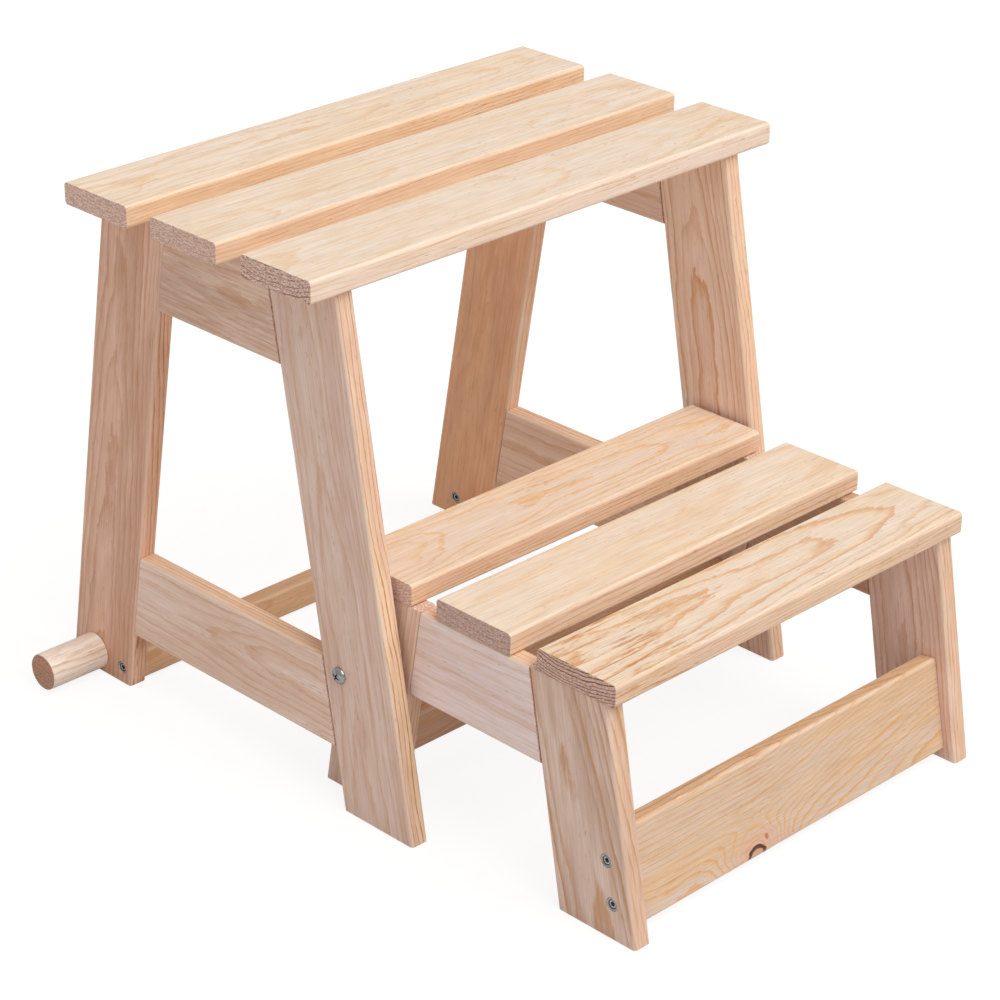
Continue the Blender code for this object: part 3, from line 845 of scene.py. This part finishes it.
def hoop(outline, segments, place, axis):
    """A ring: a closed outline of (distance along axis, radius) turned about the axis."""
    side = axis.cross(Z).normalized()
    up = side.cross(axis)
    bm = bmesh.new()
    loops = []
    for k in range(segments):
        angle = 2 * math.pi * k / segments
        out = side * math.cos(angle) + up * math.sin(angle)
        loops.append([bm.verts.new(place + axis * along + out * radius)
                      for along, radius in outline[:-1]])
    count = len(loops[0])
    for k in range(segments):
        a, b = loops[k], loops[(k + 1) % segments]
        for i in range(count):
            j = (i + 1) % count
            bm.faces.new((a[i], a[j], b[j], b[i]))
    return finish_mesh(bm, "hoop")


def block(place, axes, size):
    """A box centred on place; axes are its three directions."""
    bm = bmesh.new()
    bmesh.ops.create_cube(bm, size=1.0)
    turn = Matrix([[axis[i] for axis in axes] for i in range(3)])
    for vert in bm.verts:
        vert.co = turn @ Vector(c * s for c, s in zip(vert.co, size)) + Vector(place)
    return finish_mesh(bm, "block")


# --- Boards -----------------------------------------------------------------------
boards = {}
for row in ("top_slat", "step_slat"):
    for place in ("rear", "middle", "front"):
        boards[f"{row}_{place}"] = straight_board(f"{row}_{place}", X, Y, Z)
boards["rear_batten"] = straight_board("rear_batten", X, Z, Y)
boards["step_front_stretcher"] = tilted_board("step_front_stretcher", -FRONT_TILT, STRETCHER_W)
boards["step_rear_stretcher"] = tilted_board("step_rear_stretcher", REAR_TILT, REAR_STRETCHER_W)
for hand, side in SIDES:
    for place, facing in (("rear", 1), ("front", -1)):
        boards[f"{place}_leg_{hand}"] = leg_board(f"{place}_leg_{hand}", facing)
        boards[f"step_{place}_leg_{hand}"] = leg_board(f"step_{place}_leg_{hand}", facing)
    for rail in ("top_rail", "bottom_rail"):
        boards[f"{rail}_{hand}"] = rail_board(f"{rail}_{hand}", f"rear_leg_{hand}")
    boards[f"step_rail_{hand}"] = rail_board(f"step_rail_{hand}", f"step_rear_leg_{hand}")

# --- Joints cut into the boards ---------------------------------------------------
def rod(place, axis, radius, length, segments=32):
    return lathe([(0.0, radius), (length, radius)], segments, place, axis)


def tenons(rail, first_leg, second_leg):
    """A flat tenon through the rail, standing into a mortise in each leg."""
    middle, size = box_middle(rail)
    tongue = block(middle, (X, Y, Z), (TENON_T, size.y - 0.0004, TENON_W))
    boards[rail].joins.append(tongue)
    slot = block(middle, (X, Y, Z), (TENON_T + 2 * GAP, size.y + 4 * GAP, TENON_W + 2 * GAP))
    for leg in (first_leg, second_leg):
        boards[leg].cutters.append(slot)


def dowel(node, slat, below):
    """A fluted dowel with eased ends, upright between a slat and the piece under it."""
    middle, size = box_middle(node)
    foot = middle - Z * size.z / 2
    hole = rod(foot - Z * GAP, Z, DOWEL_R + GAP, size.z + 2 * GAP)
    boards[slat].cutters.append(hole)
    boards[below].cutters.append(hole)
    profile = [(0.0, 0.0), (0.0, DOWEL_R - DOWEL_EASE), (DOWEL_EASE, DOWEL_R),
               (size.z / 2, DOWEL_R), (size.z - DOWEL_EASE, DOWEL_R),
               (size.z, DOWEL_R - DOWEL_EASE), (size.z, 0.0)]
    flutes = 12

    def flute(along, angle):
        return -0.00030 * max(0.0, math.cos(flutes * angle)) ** 2

    material = pine_material(f"pine_{node}", LOOKS[node], middle, Z, X, Y,
                             (size.z / 2, DOWEL_R, DOWEL_R))
    piece(f"{node}_wood", lathe(profile, 96, foot, Z, flute), material, node)


def thread(start, stop, pitch, depth):
    """How much a helical thread takes off a rod's radius, for lathe."""
    def cut(along, angle):
        if not start <= along <= stop:
            return 0.0
        turn = (along / pitch - angle / (2 * math.pi)) % 1.0
        fade = min(1.0, (along - start) / pitch, (stop - along) / pitch)
        return -depth * fade * abs(2 * turn - 1.0)
    return cut


def spaced(start, stop, step):
    count = max(1, round((stop - start) / step))
    return [start + (stop - start) * k / count for k in range(count + 1)]


def screw(node, side, through, into):
    """A countersunk screw with a hexagon socket; side is where its head faces along X."""
    middle, size = box_middle(node)
    head = middle + X * side * size.x / 2
    inward = X * -side
    tip = size.x
    stop = tip - THREAD_STOP
    body = [(along, SCREW_R) for along in spaced(NECK_END, stop, SCREW_PITCH / 8)]
    profile = [*DISH, (HEAD_RIM, HEAD_R), (HEAD_H, SCREW_R - 0.0002),
               (NECK_END - 0.0005, SCREW_R - 0.0002), *body, (tip, 0.0)]
    mesh = lathe(profile, 32, head, inward, thread(NECK_END, stop, SCREW_PITCH, SCREW_THREAD))
    steel = zinc_material(f"zinc_{node}", 0.90, 0.20, head)
    item = piece(f"{node}_steel", mesh, steel, node, 32.0)
    socket = lathe([(-0.001, 0.0), (-0.001, SOCKET_R), (SOCKET_DEPTH, SOCKET_R),
                    (SOCKET_DEPTH + 0.0007, 0.0)], 6, head, inward)
    carve(item, [socket])
    shade(item, 32.0)

    mouth = head + X * side * HEAD_SUNK
    bore = SCREW_R + GAP
    wide = HEAD_R + GAP
    seat = HEAD_SUNK + HEAD_RIM + GAP
    slope = (HEAD_R - SCREW_R) / (HEAD_H - HEAD_RIM)
    neck = seat + (wide - bore) / slope
    sink = lathe([(-0.002, 0.0), (-0.002, wide + 0.0004), (0.0, wide + 0.0004), (0.0004, wide),
                  (seat, wide), (neck, bore), (BOARD + 0.006, bore), (BOARD + 0.006, 0.0)],
                 48, mouth, inward)
    boards[through].cutters.append(sink)
    pilot = rod(mouth + inward * PILOT_START, inward, bore, tip + 0.001 - PILOT_START)
    if into in boards:
        boards[into].cutters.append(pilot)
    return pilot


def pivot(hand, side):
    """A domed bolt with a cross recess through two legs, a spacer washer and a nut."""
    middle, size = box_middle(f"pivot_bolt_{hand}")
    outer = middle + X * side * size.x / 2
    inward = X * -side
    dome_r = size.y / 2
    dome = [(DOME_H * (1 - math.cos(a)), dome_r * math.sin(a))
            for a in (math.pi / 2 * k / 12 for k in range(12))]
    rim = [(DOME_H - 0.0002, dome_r), (DOME_H, dome_r - 0.0002)]
    long = size.x
    start = long - BOLT_THREAD_L
    stop = long - BOLT_TIP
    shank = [(DOME_H, BOLT_R), (start - 0.0002, BOLT_R)]
    shank += [(along, BOLT_R) for along in spaced(start, stop, THREAD_STEP)]
    profile = dome + rim + shank + [(long, BOLT_R - BOLT_TIP), (long, 0.0)]
    mesh = lathe(profile, 40, outer, inward, thread(start, stop, BOLT_PITCH, BOLT_THREAD))
    bolt = piece(f"pivot_bolt_{hand}_steel", mesh, ZINC_PIVOT, f"pivot_bolt_{hand}", 32.0)
    arms = []
    for turn in (25.0, 115.0):
        spin = Matrix.Rotation(math.radians(turn), 3, "X")
        arms.append(block(outer + inward * 0.0004, (X, spin @ Y, spin @ Z), CROSS_ARM))
    arms.append(lathe([(-0.001, 0.0), (-0.001, 0.0020), (0.0030, 0.0006), (0.0034, 0.0)], 16,
                      outer, inward))
    carve(bolt, arms)
    shade(bolt, 32.0)
    hole = rod(outer, inward, BOLT_HOLE_R, long + 0.002)
    for leg in (f"front_leg_{hand}", f"step_rear_leg_{hand}"):
        boards[leg].cutters.append(hole)

    middle, size = box_middle(f"pivot_washer_{hand}")
    thick = size.x
    wide = size.y / 2
    ease = WASHER_EASE
    ring = [(0.0, BOLT_HOLE_R + ease), (0.0, wide - ease), (ease, wide), (thick - ease, wide),
            (thick, wide - ease), (thick, BOLT_HOLE_R + ease), (thick - ease, BOLT_HOLE_R),
            (ease, BOLT_HOLE_R), (0.0, BOLT_HOLE_R + ease)]
    mesh = hoop(ring, 48, middle - X * thick / 2, X)
    piece(f"pivot_washer_{hand}_steel", mesh, ZINC_PIVOT, f"pivot_washer_{hand}", 32.0)

    middle, size = box_middle(f"pivot_nut_{hand}")
    start = middle - X * size.x / 2
    corner = max(size.y, size.z) / 2
    prism = lathe([(0.0, corner), (size.x, corner)], 6, start, X)
    nut = piece(f"pivot_nut_{hand}_steel", prism, ZINC_PIVOT, f"pivot_nut_{hand}", 32.0)
    flat = corner * 0.90
    barrel = lathe([(-0.0001, flat - 0.0001), (0.0008, corner + 0.0001),
                    (size.x - 0.0008, corner + 0.0001), (size.x + 0.0001, flat - 0.0001)],
                   48, start, X)
    carve(nut, [barrel], "INTERSECT")
    first, last = -0.001, size.x + 0.001
    steps = [(along, BOLT_HOLE_R) for along in spaced(first, last, THREAD_STEP)]
    carve(nut, [lathe(steps, 40, start, X, thread(first, last, BOLT_PITCH, NUT_THREAD))])
    shade(nut, 32.0)


def peg(hand, side, pilot):
    """A short turned peg with an eased end, screwed on from inside the leg."""
    node = f"side_peg_{hand}"
    middle, size = box_middle(node)
    radius = size.y / 2
    root = middle - X * side * size.x / 2
    long = size.x
    rounds = [(long - PEG_EASE * (1 - math.sin(a)), radius - PEG_EASE * (1 - math.cos(a)))
              for a in (math.pi / 2 * k / 4 for k in range(5))]
    profile = [(0.0, 0.0), (0.0, radius - 0.0003), (0.0003, radius)]
    profile += [(along, radius) for along in spaced(0.002, long - 0.003, 0.0015)]
    profile += rounds + [(long, 0.0)]

    def tool_marks(along, angle):
        drift = noise.noise(Vector((along * 30, math.cos(angle) * 1.5,
                                    math.sin(angle) * 1.5 + side)))
        flats = 0.5 - 0.5 * math.cos(9 * angle + 2.0 * side)
        return -0.00010 * (0.5 + 0.5 * drift) - 0.00012 * flats

    material = pine_material(f"pine_{node}", LOOKS[node], middle, X, Y, Z,
                             (size.x / 2, radius, radius))
    item = piece(f"{node}_wood", lathe(profile, 72, root, X * side, tool_marks), material, node)
    carve(item, [pilot])
    shade(item, 40.0)


for hand, side in SIDES:
    tenons(f"top_rail_{hand}", f"rear_leg_{hand}", f"front_leg_{hand}")
    tenons(f"bottom_rail_{hand}", f"rear_leg_{hand}", f"front_leg_{hand}")
    tenons(f"step_rail_{hand}", f"step_rear_leg_{hand}", f"step_front_leg_{hand}")
    for row, rail, prefix in (("top", "top_rail", ""), ("step", "step_rail", "step_")):
        dowel(f"{row}_rear_dowel_{hand}", f"{row}_slat_rear", f"{prefix}rear_leg_{hand}")
        dowel(f"{row}_middle_dowel_{hand}", f"{row}_slat_middle", f"{rail}_{hand}")
        dowel(f"{row}_front_dowel_{hand}", f"{row}_slat_front", f"{prefix}front_leg_{hand}")
    pivot(hand, side)
    peg(hand, side, screw(f"peg_screw_{hand}", -side, f"rear_leg_{hand}", f"side_peg_{hand}"))
    screw(f"batten_screw_{hand}", side, f"rear_leg_{hand}", "rear_batten")
    for label in ("high", "low"):
        screw(f"front_screw_{label}_{hand}", side, f"step_front_leg_{hand}",
              "step_front_stretcher")
    screw(f"rear_screw_{hand}", side, f"step_rear_leg_{hand}", "step_rear_stretcher")

for board in boards.values():
    board.make()

# --- Stage --------------------------------------------------------------------------
YAW = math.radians(44.253)         # of the view, from +Y towards +X
PITCH = math.radians(-25.946)
ROLL = math.radians(0.126)
LENS = 107.25                      # mm, on a sensor 36 mm wide
SHIFT = (0.02241, -0.01220)
CAMERA_AT = (-1.62827, -1.62067, 1.32640)


def pale_floor():
    """A white table lit from within as the camera sees it, and pale grey as a reflector."""
    bm = bmesh.new()
    bmesh.ops.create_grid(bm, x_segments=1, y_segments=1, size=14.0)
    mesh = finish_mesh(bm, "floor")
    mat, w, shader = shader_material("floor")
    place = w.node("ShaderNodeTexCoord").outputs["Object"]
    cloud = w.noise(place, (1.5, 1.5, 1.5), 3.0)
    seen = w.node("ShaderNodeLightPath").outputs["Is Camera Ray"]
    reflector = w.mix(cloud, (0.635, 0.635, 0.635, 1), (0.655, 0.655, 0.655, 1))
    w.feed(shader.inputs["Base Color"], w.mix(seen, reflector, (0.18, 0.18, 0.18, 1)))
    shader.inputs["Emission Color"].default_value = (1.0, 1.0, 1.0, 1.0)
    w.feed(shader.inputs["Emission Strength"], w.times(seen, 0.86))
    shader.inputs["Roughness"].default_value = 0.9
    shader.inputs["Specular IOR Level"].default_value = 0.1
    mesh.materials.append(mat)
    floor = bpy.data.objects.new("floor", mesh)
    floor.location.z = -0.0006
    bpy.context.scene.collection.objects.link(floor)


def sun(name, towards, strength, spread, colour):
    """A distant soft light that comes from the given direction."""
    light = bpy.data.lights.new(name, "SUN")
    light.energy = strength
    light.angle = math.radians(spread)
    light.color = colour
    item = bpy.data.objects.new(name, light)
    item.rotation_euler = Vector(towards).to_track_quat("Z", "Y").to_euler()
    bpy.context.scene.collection.objects.link(item)


def world_light(strength, colour):
    """An even surround that looks white to the camera."""
    world = bpy.data.worlds.new("studio")
    world.use_nodes = True
    w = Wiring(world.node_tree)
    back = world.node_tree.nodes["Background"]
    seen = w.node("ShaderNodeLightPath").outputs["Is Camera Ray"]
    lit = tuple(channel * strength for channel in colour)
    w.feed(back.inputs["Color"], w.mix(seen, (*lit, 1.0), (1.0, 1.0, 1.0, 1.0)))
    bpy.context.scene.world = world


def aim_camera():
    """A long lens that looks down at the near left corner, with a slight roll."""
    ahead = Vector((math.sin(YAW) * math.cos(PITCH), math.cos(YAW) * math.cos(PITCH),
                    math.sin(PITCH)))
    level = Vector((math.cos(YAW), -math.sin(YAW), 0.0))
    over = level.cross(ahead)
    right = level * math.cos(ROLL) + over * math.sin(ROLL)
    up = over * math.cos(ROLL) - level * math.sin(ROLL)
    data = bpy.data.cameras.new("camera")
    data.sensor_width = 36.0
    data.lens = LENS
    data.shift_x, data.shift_y = SHIFT
    camera = bpy.data.objects.new("camera", data)
    turn = Matrix([right, up, -ahead]).transposed()
    camera.matrix_world = Matrix.Translation(CAMERA_AT) @ turn.to_4x4()
    bpy.context.scene.collection.objects.link(camera)
    bpy.context.scene.camera = camera


pale_floor()
world_light(0.47, (1.0, 0.97, 0.98))
sun("key", (0.03, -0.72, 1.0), 2.13, 50.0, (1.0, 0.98, 0.94))
aim_camera()
bpy.context.scene.view_settings.view_transform = "Standard"
